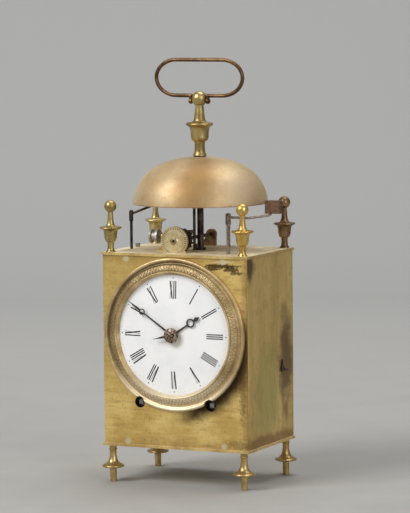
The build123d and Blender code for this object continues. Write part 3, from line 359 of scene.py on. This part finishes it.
def knob_bronze():
    """The alarm hand and its knob: dark and pitted, with rubbed high spots."""
    s = aged_brass(
        "knob_bronze", linear(184, 164, 142), linear(122, 104, 86), linear(30, 24, 20),
        0.4, 0.008, 0.0008, 0.4,
    )
    pits = s.cells(0.0017)
    s.colour(s.mix(s.band(pits, 0.42, 0.75), s.tone, linear(44, 36, 30)))
    s.bump(pits, 0.0003, 0.9)
    return s.material


def steel(name, light, deep, roughness, patch=0.006, metallic=0.9):
    s = Surface(name, roughness, metallic)
    cloud = s.noise(patch, 6.0, 0.65)
    s.colour(s.mix(s.band(cloud, 0.38, 0.66), light, deep))
    s.rough(s.band(cloud, 0.3, 0.7, roughness - 0.1, roughness + 0.16))
    s.bump(s.noise(0.0008, 4.0), 0.00006, 0.6)
    return s.material


def enamel():
    """The dial: white, with a yellowed ring of painted shadow round the hands' hub."""
    s = Surface("dial_enamel", 0.22, 0.0)
    # Painted shadow: a soft yellowed ring round the hub, set a little to the right of and below the
    # dial's centre.
    away = s.vector("SUBTRACT", s.place, (CASE_X + 0.001, FRONT_Y - 0.003, DIAL_Z - 0.0015))
    reach = s.math("DIVIDE", s.vector("LENGTH", away, (0, 0, 0)), MM)
    reach = s.math("ADD", reach, s.times(s.noise(0.004, 4.0), 2.4))
    tone = s.mix(s.band(s.noise(0.02, 4.0), 0.4, 0.7), linear(246, 246, 245), linear(238, 239, 240))
    s.colour(s.stain(tone, s.band(reach, 6.2, 10.5, 1.0, 0.0), 0.5, linear(214, 204, 176)))
    s.shader.inputs["Coat Weight"].default_value = 0.3
    s.shader.inputs["Coat Roughness"].default_value = 0.1
    s.bump(s.noise(0.01, 3.0), 0.0001, 0.3)
    return s.material


def ink(name, colour):
    s = Surface(name, 0.45, 0.0)
    s.colour(s.mix(s.band(s.noise(0.0009, 3.0), 0.5, 0.75), colour, linear(96, 88, 84)))
    return s.material


def bezel_brass():
    """The bezel: two rows of chased leaves in its band, a matt rim, and painted shade on the upper left
    of its groove and band.
    """
    s = aged_brass(
        "bezel_brass", linear(214, 190, 142), linear(178, 152, 106), linear(92, 68, 42),
        0.46, 0.012, 0.0008, 0.6, 0.75,
    )
    dx, dz, reach = s.polar(CASE_X, DIAL_Z)
    inner_edge = s.band(reach, BAND_IN, BAND_IN + 0.0003)
    in_band = s.times(inner_edge, s.band(reach, BAND_OUT - 0.0004, BAND_OUT, 1.0, 0.0))
    row_height = 0.00215
    crown = s.band(s.math("PINGPONG", s.less(reach, BAND_IN), row_height), 0.0, 0.0006)
    outer_row = s.math("GREATER_THAN", reach, BAND_IN + row_height)
    steps = s.math("ADD", s.times(s.math("ARCTAN2", dz, dx), LEAVES / (2 * pi)), s.times(outer_row, 0.5))
    leaf = s.band(s.math("PINGPONG", steps, 0.5), 0.02, 0.17)
    vein = s.band(s.math("PINGPONG", steps, 0.25), 0.0, 0.09)
    figure = s.times(s.times(leaf, crown), s.band(vein, 0.0, 1.0, 0.45, 1.0))
    figure = s.times(figure, s.band(s.noise(0.0018, 4.0), 0.3, 0.6, 0.55, 1.0))
    gaps = s.times(s.less(1.0, figure), in_band)
    tone = s.stain(s.tone, gaps, 0.66, linear(66, 46, 26))
    # Painted shade: the groove and the leaf band are darkened on the upper left side of the bezel.
    shade = s.band(s.less(dz, dx), -0.01, 0.055)
    groove = s.times(s.band(reach, 0.0486, 0.0491), s.band(reach, 0.0507, 0.0511, 1.0, 0.0))
    tone = s.stain(tone, s.times(groove, shade), 0.7, linear(54, 36, 20))
    tone = s.stain(tone, s.times(in_band, shade), 0.3, linear(70, 48, 28))
    pale = s.times(s.band(dz, -0.022, -0.044), s.band(s.noise(0.006, 5.0), 0.25, 0.6, 0.5, 1.0))
    s.colour(s.stain(tone, pale, 0.8, s.mix(gaps, linear(246, 232, 200), linear(190, 164, 124))))
    s.bump(s.times(figure, in_band), 0.00022, 0.9)
    s.bump(s.noise(0.0012, 4.0, 0.7), 0.00012, 0.7)
    return s.material


LOOK = {
    "front": front_brass(),
    "plate": plate_brass(),
    "side": side_brass(),
    "bell": bell_metal(),
    "bezel": bezel_brass(),
    "enamel": enamel(),
    "ink": ink("dial_ink", linear(30, 25, 25)),
    "faint_ink": ink("dial_faint_ink", linear(84, 78, 78)),
    "bright": turned_brass(
        "turned_bright", linear(208, 182, 124), linear(170, 140, 86), linear(92, 68, 36), 0.32
    ),
    "yellow": turned_brass(
        "turned_yellow", linear(226, 194, 116), linear(194, 156, 82), linear(98, 70, 34), 0.3
    ),
    "dull": turned_brass(
        "turned_dull", linear(188, 168, 112), linear(146, 124, 74), linear(72, 56, 32), 0.4
    ),
    "pale": turned_brass(
        "turned_pale", linear(216, 196, 142), linear(178, 156, 100), linear(92, 72, 40), 0.4
    ),
    "bronze": turned_brass(
        "turned_bronze", linear(158, 128, 92), linear(110, 84, 58), linear(58, 42, 28), 0.38
    ),
    "movement": turned_brass(
        "movement_brass", linear(196, 164, 88), linear(168, 134, 66), linear(96, 70, 34), 0.38
    ),
    "dark": steel("dark_steel", linear(92, 80, 72), linear(52, 42, 38), 0.42),
    "knob": knob_bronze(),
    "handle": turned_brass(
        "handle_bronze", linear(126, 96, 64), linear(84, 60, 40), linear(44, 30, 22), 0.38
    ),
    "hand": steel("hand_steel", linear(98, 90, 86), linear(60, 52, 50), 0.4),
    "rusty": steel("hammer_steel", linear(126, 96, 74), linear(86, 62, 48), 0.5, 0.003, 0.6),
    "greyed": steel("greyed_steel", linear(158, 142, 128), linear(104, 90, 80), 0.5, 0.002, 0.5),
    "silver": steel("spool_silver", linear(206, 204, 194), linear(150, 144, 126), 0.55, 0.003, 0.4),
    "plain_steel": steel("plain_steel", linear(150, 148, 144), linear(112, 110, 106), 0.36),
    "cock": cock_brass(),
}

WEARS = {
    "front": "front_plate front_plate_lugs",
    "plate": "base_plate top_plate",
    "side": "right_door left_door back_door",
    "bell": "bell",
    "bezel": "bezel",
    "enamel": "dial",
    "bright": "feet",
    "dull": "corner_finials handle_finial",
    "bronze": "alarm_back_cock",
    "knob": "alarm_hand",
    "handle": "handle handle_pin",
    "movement": (
        "movement_front_plate movement_back_plate going_barrel strike_barrel second_wheel centre_wheel "
        "third_wheel escape_wheel cannon_pinion minute_wheel hour_wheel pin_wheel count_wheel "
        "locking_wheel fly pendulum_bob pendulum_cock alarm_spool_cock"
    ),
    "hand": "hour_hand minute_hand",
    "dark": (
        "right_door_catch hinge_pins bell_post bell_fixings "
        "left_hammer_arbor hammer_potences alarm_crown_wheel alarm_verge alarm_hammer clicks"
    ),
    "rusty": "right_hammer_head left_hammer_head",
    "greyed": "right_hammer_arbor",
    "silver": "alarm_spool",
    "plain_steel": (
        "corner_columns set_square movement_pillars movement_brackets going_winding_arbor "
        "strike_winding_arbor pallets pendulum_rod"
    ),
    "cock": "alarm_front_cock",
}


def dress():
    for look, names in WEARS.items():
        for name in names.split():
            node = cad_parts[name]
            node.data.materials.clear()
            node.data.materials.append(LOOK[look])
            for polygon in node.data.polygons:
                polygon.material_index = 0


def wear_edges():
    """A small worn edge round the two plates."""
    for name in ("top_plate", "base_plate"):
        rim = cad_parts[name].modifiers.new("worn_edge", "BEVEL")
        rim.width = 0.25 * MM
        rim.segments = 2
        rim.limit_method = "ANGLE"
        rim.angle_limit = radians(40)


dress()
wear_edges()


def smooth_run(points, steps=6):
    """Points along a smooth curve through the given ones."""
    if len(points) < 3:
        return list(points)
    out = []
    for i in range(len(points) - 1):
        before = points[max(i - 1, 0)]
        a, b = points[i], points[i + 1]
        after = points[min(i + 2, len(points) - 1)]
        for k in range(steps):
            t = k / steps
            out.append(
                tuple(
                    0.5
                    * (
                        2 * q
                        + (r - p) * t
                        + (2 * p - 5 * q + 4 * r - s) * t * t
                        + (3 * q - p - 3 * r + s) * t**3
                    )
                    for p, q, r, s in zip(before, a, b, after)
                )
            )
    out.append(points[-1])
    return out


def ball(radius, height, waist):
    """Profile of a ball on a stem of radius waist, up to its top on the axis."""
    start = asin(waist / radius)
    turns = [pi - start - (pi - start) * i / 14 for i in range(15)]
    return [(radius * sin(t), height + radius * cos(t)) for t in turns]


def add_mesh(name, vertices, faces, look, body, places=None, corner=35.0):
    """A piece in millimetres, copied to each place, which rides on a body."""
    mesh = bpy.data.meshes.new(name)
    if places:
        count = len(vertices)
        faces = [tuple(i + k * count for i in face) for k in range(len(places)) for face in faces]
        vertices = [place @ Vector(v) for place in places for v in vertices]
    mesh.from_pydata([Vector(v) * MM for v in vertices], [], faces)
    mesh.update()
    for polygon in mesh.polygons:
        polygon.use_smooth = True
    mesh.set_sharp_from_angle(angle=radians(corner))
    mesh.materials.append(LOOK[look])
    piece = bpy.data.objects.new(name, mesh)
    bpy.context.scene.collection.objects.link(piece)
    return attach(piece, body)


def lathe(name, spans, look, body, places=None, columns=72):
    """A turned piece: its profile is made of spans of (radius, height), each one smooth."""
    profile = []
    for span in spans:
        run = smooth_run(span)
        if profile and max(abs(a - b) for a, b in zip(profile[-1], run[0])) < 1e-6:
            run = run[1:]
        profile.extend(run)
    vertices, rings = [], []
    for radius, height in profile:
        if radius < 1e-4:
            rings.append([len(vertices)] * columns)
            vertices.append((0.0, 0.0, height))
        else:
            rings.append(list(range(len(vertices), len(vertices) + columns)))
            for i in range(columns):
                a = 2 * pi * i / columns
                vertices.append((radius * cos(a), radius * sin(a), height))
    faces = []
    for low, high in zip(rings, rings[1:]):
        for i in range(columns):
            j = (i + 1) % columns
            face = (low[i], low[j], high[j], high[i])
            faces.append(tuple(dict.fromkeys(face)))
    faces = [face for face in faces if len(face) > 2]
    return add_mesh(name, vertices, faces, look, body, places)


def lift(x, y, z=0.0):
    return Matrix.Translation((x / MM, y / MM, z / MM))


def feet():
    spans = [
        [(0.0, 0.0), (2.1, 0.0)],
        [(2.1, 0.0), (2.26, 0.2)],
        [(2.26, 0.2), (2.4, 9.4)],
        [(2.4, 9.4), (4.4, 9.75), (6.4, 10.1), (7.6, 10.6)],
        [(7.6, 10.6), (7.9, 11.0), (7.75, 11.5), (7.2, 12.0)],
        [(7.2, 12.0), (5.6, 12.75), (4.3, 13.6), (3.3, 15.0), (2.7, 17.0), (2.42, 19.5), (2.4, 22.5)],
        [(2.4, 22.5), (2.75, 22.7), (2.75, 23.3), (2.45, 23.5)],
        [(2.45, 23.5), (2.6, 26.0)],
    ]
    piece = lathe("turned_feet", spans, "bright", "case", [lift(x, y) for x, y in CORNERS])
    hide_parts("feet")


def finial_spans():
    return [
        [(0.0, 0.0), (3.3, 0.0)],
        [(3.3, 0.0), (3.35, 0.35), (3.1, 0.8)],
        [(3.1, 0.8), (2.55, 1.5), (2.3, 2.8), (2.25, 5.0), (2.4, 7.1)],
        [(2.4, 7.1), (3.0, 7.25), (3.6, 7.7), (3.95, 8.4), (4.1, 9.4)],
        [(4.1, 9.4), (4.45, 10.0)],
        [(4.45, 10.0), (4.5, 11.5), (4.7, 13.4), (5.1, 15.2)],
        [(5.1, 15.2), (5.5, 15.5), (6.3, 15.9), (7.2, 16.3)],
        [(7.2, 16.3), (7.6, 16.8), (7.5, 17.3), (7.1, 17.6)],
        [(7.1, 17.6), (4.6, 17.9)],
        [(4.6, 17.9), (3.3, 18.4), (2.6, 19.6), (2.15, 22.0), (1.95, 25.0), (1.85, 28.24)],
        ball(4.3, 31.9, 1.85),
    ]


def finials():
    for name, look, spots in (
        ("finial_bright", "yellow", [CORNERS[2]]),
        ("finial_left", "dull", [CORNERS[0]]),
        ("finial_back_left", "pale", [CORNERS[1]]),
        ("finial_back_right", "bronze", [CORNERS[3]]),
    ):
        piece = lathe(name, finial_spans(), look, "case", [lift(x, y, TOP_Z) for x, y in spots])
        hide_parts("corner_finials")


def handle_finial():
    spans = [
        [(0.0, 0.0), (4.8, 0.0)],
        [(4.8, 0.0), (4.8, 0.5), (4.6, 1.0)],
        [(4.6, 1.0), (4.0, 2.2), (3.7, 4.0), (3.6, 6.5), (3.75, 9.0), (4.2, 10.2)],
        [(4.2, 10.2), (5.0, 10.4), (5.7, 11.0), (5.85, 11.9)],
        [(5.85, 11.9), (6.3, 12.5)],
        [(6.3, 12.5), (6.3, 14.5), (6.55, 17.5), (7.1, 19.8)],
        [(7.1, 19.8), (7.7, 20.3), (8.7, 20.9), (9.3, 21.3)],
        [(9.3, 21.3), (9.6, 21.8), (9.4, 22.6), (9.0, 23.0)],
        [(9.0, 23.0), (5.8, 23.5)],
        [(5.8, 23.5), (4.6, 24.2), (3.9, 26.0), (3.45, 29.5), (3.05, 33.0), (2.9, 35.14)],
        ball(5.4, 39.7, 2.9),
    ]
    piece = lathe("handle_knob", spans, "dull", "case", [lift(0, 0, 0.2279)])
    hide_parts("handle_finial")


DIAL_HOLE, DIAL_RIM = 3.1, 43.2
DIAL_CROWN, DIAL_EDGE = 2.9, 1.1
INK_LIFT = 0.03
NUMERAL_LOW, NUMERAL_HIGH = 25.3, 37.6
DOTS_AT = 39.7


def dial_height(radius):
    """Height of the domed dial above the front plate."""
    rise = DIAL_CROWN - DIAL_EDGE
    big = (DIAL_RIM**2 + rise**2) / (2 * rise)
    return DIAL_CROWN - big + sqrt(big**2 - radius**2)


def on_front(x, z, height):
    """A point given from the dial's centre, x to the right and z up, height to the front."""
    return (CASE_X / MM + x, FRONT_Y / MM - height, DIAL_Z / MM + z)


def dial():
    radii = [DIAL_HOLE + (DIAL_RIM - DIAL_HOLE) * i / 12 for i in range(13)]
    spans = [
        [(DIAL_HOLE, 2.6), (DIAL_HOLE, dial_height(DIAL_HOLE))],
        [(radius, dial_height(radius)) for radius in radii],
        [(DIAL_RIM, DIAL_EDGE), (DIAL_RIM, 0.1)],
    ]
    turn = Matrix.Translation(on_front(0, 0, 0)) @ Matrix.Rotation(radians(90), 4, "X")
    piece = lathe("dial_plate", spans, "enamel", "case", [turn], 160)
    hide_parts("dial")


def stroke(vertices, faces, hour, start, end, wide, steps=6):
    """A painted stroke on the dial at an hour, from (across, outward) to (across, outward)."""
    angle = radians(90 - 30 * hour)
    out, along = Vector((cos(angle), sin(angle))), Vector((sin(angle), -cos(angle)))
    first = len(vertices)
    for i in range(steps + 1):
        t = i / steps
        middle = start[0] + (end[0] - start[0]) * t
        up = start[1] + (end[1] - start[1]) * t
        for side in (-0.5, 0.5):
            spot = out * up + along * (middle + side * wide)
            vertices.append(on_front(spot.x, spot.y, dial_height(spot.length) + INK_LIFT))
    for i in range(steps):
        a = first + 2 * i
        faces.append((a, a + 1, a + 3, a + 2))


WIDTH = {"I": 1.4, "V": 2.8, "X": 2.8}


def numerals():
    """Roman hours that stand on the centre, with dots outside them."""
    vertices, faces = [], []
    low, high = NUMERAL_LOW, NUMERAL_HIGH
    thick, thin = 1.0, 0.28
    figures = "I II III IIII V VI VII VIII IX X XI XII".split()
    for hour, figure in enumerate(figures, 1):
        at = -sum(WIDTH[letter] for letter in figure) / 2
        for letter in figure:
            middle = at + WIDTH[letter] / 2
            if letter == "I":
                stroke(vertices, faces, hour, (middle, low), (middle, high), 0.8)
            elif letter == "V":
                stroke(vertices, faces, hour, (middle - 0.8, high), (middle + 0.1, low), thick)
                stroke(vertices, faces, hour, (middle + 0.95, high), (middle + 0.2, low), thin)
            else:
                stroke(vertices, faces, hour, (middle - 0.8, high), (middle + 0.8, low), thick)
                stroke(vertices, faces, hour, (middle + 0.95, high), (middle - 0.95, low), thin)
            at += WIDTH[letter]
    add_mesh("dial_numerals", vertices, faces, "ink", "case")

    vertices, faces = [], []
    for minute in range(60):
        radius = 0.45 if minute % 5 == 0 else 0.15
        angle = radians(90 - 6 * minute)
        first = len(vertices)
        for i in range(10):
            x = DOTS_AT * cos(angle) + radius * cos(2 * pi * i / 10)
            z = DOTS_AT * sin(angle) + radius * sin(2 * pi * i / 10)
            vertices.append(on_front(x, z, dial_height(DOTS_AT) + INK_LIFT))
        faces.append(tuple(range(first, first + 10)))
    add_mesh("dial_minute_dots", vertices, faces, "faint_ink", "case")


NOTCH_X, NOTCH_Z, NOTCH_R = 27.2, -48.3, 4.5


def notch_half_angle(radius):
    """Half the angle that a key notch takes out of the bezel at a radius."""
    apart = sqrt(NOTCH_X**2 + NOTCH_Z**2)
    if radius <= apart - NOTCH_R:
        return 0.0
    return acos((radius**2 + apart**2 - NOTCH_R**2) / (2 * radius * apart))


def bezel():
    spans = [
        [(43.5, 0.0), (43.5, 1.4)],
        [(43.5, 1.4), (42.0, 1.4)],
        [(42.0, 1.4), (42.0, 2.0)],
        [(42.0, 2.0), (43.2, 3.9)],
        [(43.2, 3.9), (43.45, 4.5), (43.9, 4.9), (44.35, 4.5), (44.6, 3.9)],
        [(44.6, 3.9), (44.75, 4.15), (46.8, 3.75), (48.75, 2.75), (49.0, 2.3)],
        [(49.0, 2.3), (49.4, 1.6), (49.95, 1.3), (50.5, 1.4), (50.9, 1.6)],
        [(50.9, 1.6), (51.3, 2.25), (52.25, 2.6), (53.2, 2.2), (53.6, 1.2)],
        [(53.6, 1.2), (53.6, 0.0)],
    ]
    profile = []
    for span in spans:
        run = smooth_run(span, 4)
        profile.extend(run[1:] if profile else run)
    left = atan2(NOTCH_Z, -NOTCH_X) % (2 * pi)
    right = atan2(NOTCH_Z, NOTCH_X) % (2 * pi)
    vertices, faces = [], []
    for start, end, columns in ((right - 2 * pi, left, 300), (left, right, 60)):
        first = len(vertices)
        wide = columns + 1
        for radius, height in profile:
            gap = notch_half_angle(radius)
            for i in range(wide):
                angle = start + gap + (end - start - 2 * gap) * i / columns
                vertices.append(on_front(radius * cos(angle), radius * sin(angle), height))
        for k in range(len(profile) - 1):
            for i in range(columns):
                a = first + k * wide + i
                faces.append((a, a + wide, a + wide + 1, a + 1))
        for i in (0, columns):
            foot = len(vertices)
            outer = [k for k, (radius, _) in enumerate(profile) if notch_half_angle(radius) > 0]
            for k in outer:
                x, y, z = vertices[first + k * wide + i]
                vertices.append((x, FRONT_Y / MM, z))
            for n, k in enumerate(outer[:-1]):
                a = first + k * wide + i
                faces.append((a, a + wide, foot + n + 1, foot + n))
    piece = add_mesh("bezel_ring", vertices, faces, "bezel", "case", corner=40.0)
    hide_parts("bezel")


feet()
finials()
handle_finial()
dial()
numerals()
bezel()


def stage():
    """A pale floor that curves up into a backdrop."""
    profile = [(-2.5, 0.0), (1.2, 0.0)]
    for i in range(13):
        a = radians(-90 + 90 * i / 12)
        profile.append((1.2 + 0.8 * cos(a), 0.8 + 0.8 * sin(a)))
    profile.append((2.0, 4.0))
    turn = Matrix.Rotation(STAGE_TURN, 4, "Z")
    vertices = []
    for along, up in profile:
        for side in (-4.0, 4.0):
            vertices.append(turn @ Vector((side, along, up)))
    faces = [(2 * i, 2 * i + 1, 2 * i + 3, 2 * i + 2) for i in range(len(profile) - 1)]
    mesh = bpy.data.meshes.new("stage")
    mesh.from_pydata(vertices, [], faces)
    for polygon in mesh.polygons:
        polygon.use_smooth = True
    floor = bpy.data.objects.new("stage", mesh)
    bpy.context.scene.collection.objects.link(floor)
    s = Surface("stage", 0.8, 0.0)
    axes = s.axes()
    along = s.math("ADD", s.times(axes["X"], -sin(STAGE_TURN)), s.times(axes["Y"], cos(STAGE_TURN)))
    floor_tone = s.mix(s.band(s.noise(0.05, 5.0), 0.3, 0.7), linear(158, 156, 152), linear(163, 161, 157))
    s.colour(s.mix(s.band(along, -0.3, 1.6), floor_tone, linear(184, 184, 182)))
    mesh.materials.append(s.material)


def lamp(name, place, target, size, power, colour=(1, 1, 1)):
    data = bpy.data.lights.new(name, "AREA")
    data.shape = "RECTANGLE"
    data.size, data.size_y = size
    data.energy = power
    data.color = colour
    lamp_object = bpy.data.objects.new(name, data)
    bpy.context.scene.collection.objects.link(lamp_object)
    lamp_object.location = place
    lamp_object.rotation_euler = (Vector(target) - Vector(place)).to_track_quat("-Z", "Y").to_euler()


def lights():
    middle = (0, 0, 0.15)
    lamp("key", (-0.9, -1.5, 1.5), middle, (1.1, 1.1), 36.0)
    lamp("fill", (1.7, -1.0, 0.9), middle, (1.2, 1.4), 14.0)
    lamp("over", (0.1, 0.5, 1.9), middle, (1.4, 1.0), 18.0)
    world = bpy.data.worlds.new("world")
    world.use_nodes = True
    world.node_tree.nodes["Background"].inputs["Color"].default_value = linear(196, 196, 196)
    world.node_tree.nodes["Background"].inputs["Strength"].default_value = 0.5
    bpy.context.scene.world = world


def camera():
    yaw, pitch, roll = radians(25.197), radians(-5.356), radians(-0.510)
    ahead = Vector((-sin(yaw) * cos(pitch), cos(yaw) * cos(pitch), sin(pitch)))
    right = Vector((cos(yaw), sin(yaw), 0))
    up = right.cross(ahead)
    across = cos(roll) * right + sin(roll) * up
    upward = cos(roll) * up - sin(roll) * right
    data = bpy.data.cameras.new("camera")
    data.lens = 215.64
    data.sensor_width = 36.0
    data.clip_start = 0.1
    data.clip_end = 20.0
    eye = bpy.data.objects.new("camera", data)
    bpy.context.scene.collection.objects.link(eye)
    turn = Matrix((across, upward, -ahead)).transposed().to_4x4()
    eye.matrix_world = Matrix.Translation((0.91588, -1.93966, 0.35810)) @ turn
    bpy.context.scene.camera = eye


stage()
lights()
camera()
bpy.context.scene.view_settings.view_transform = "Standard"
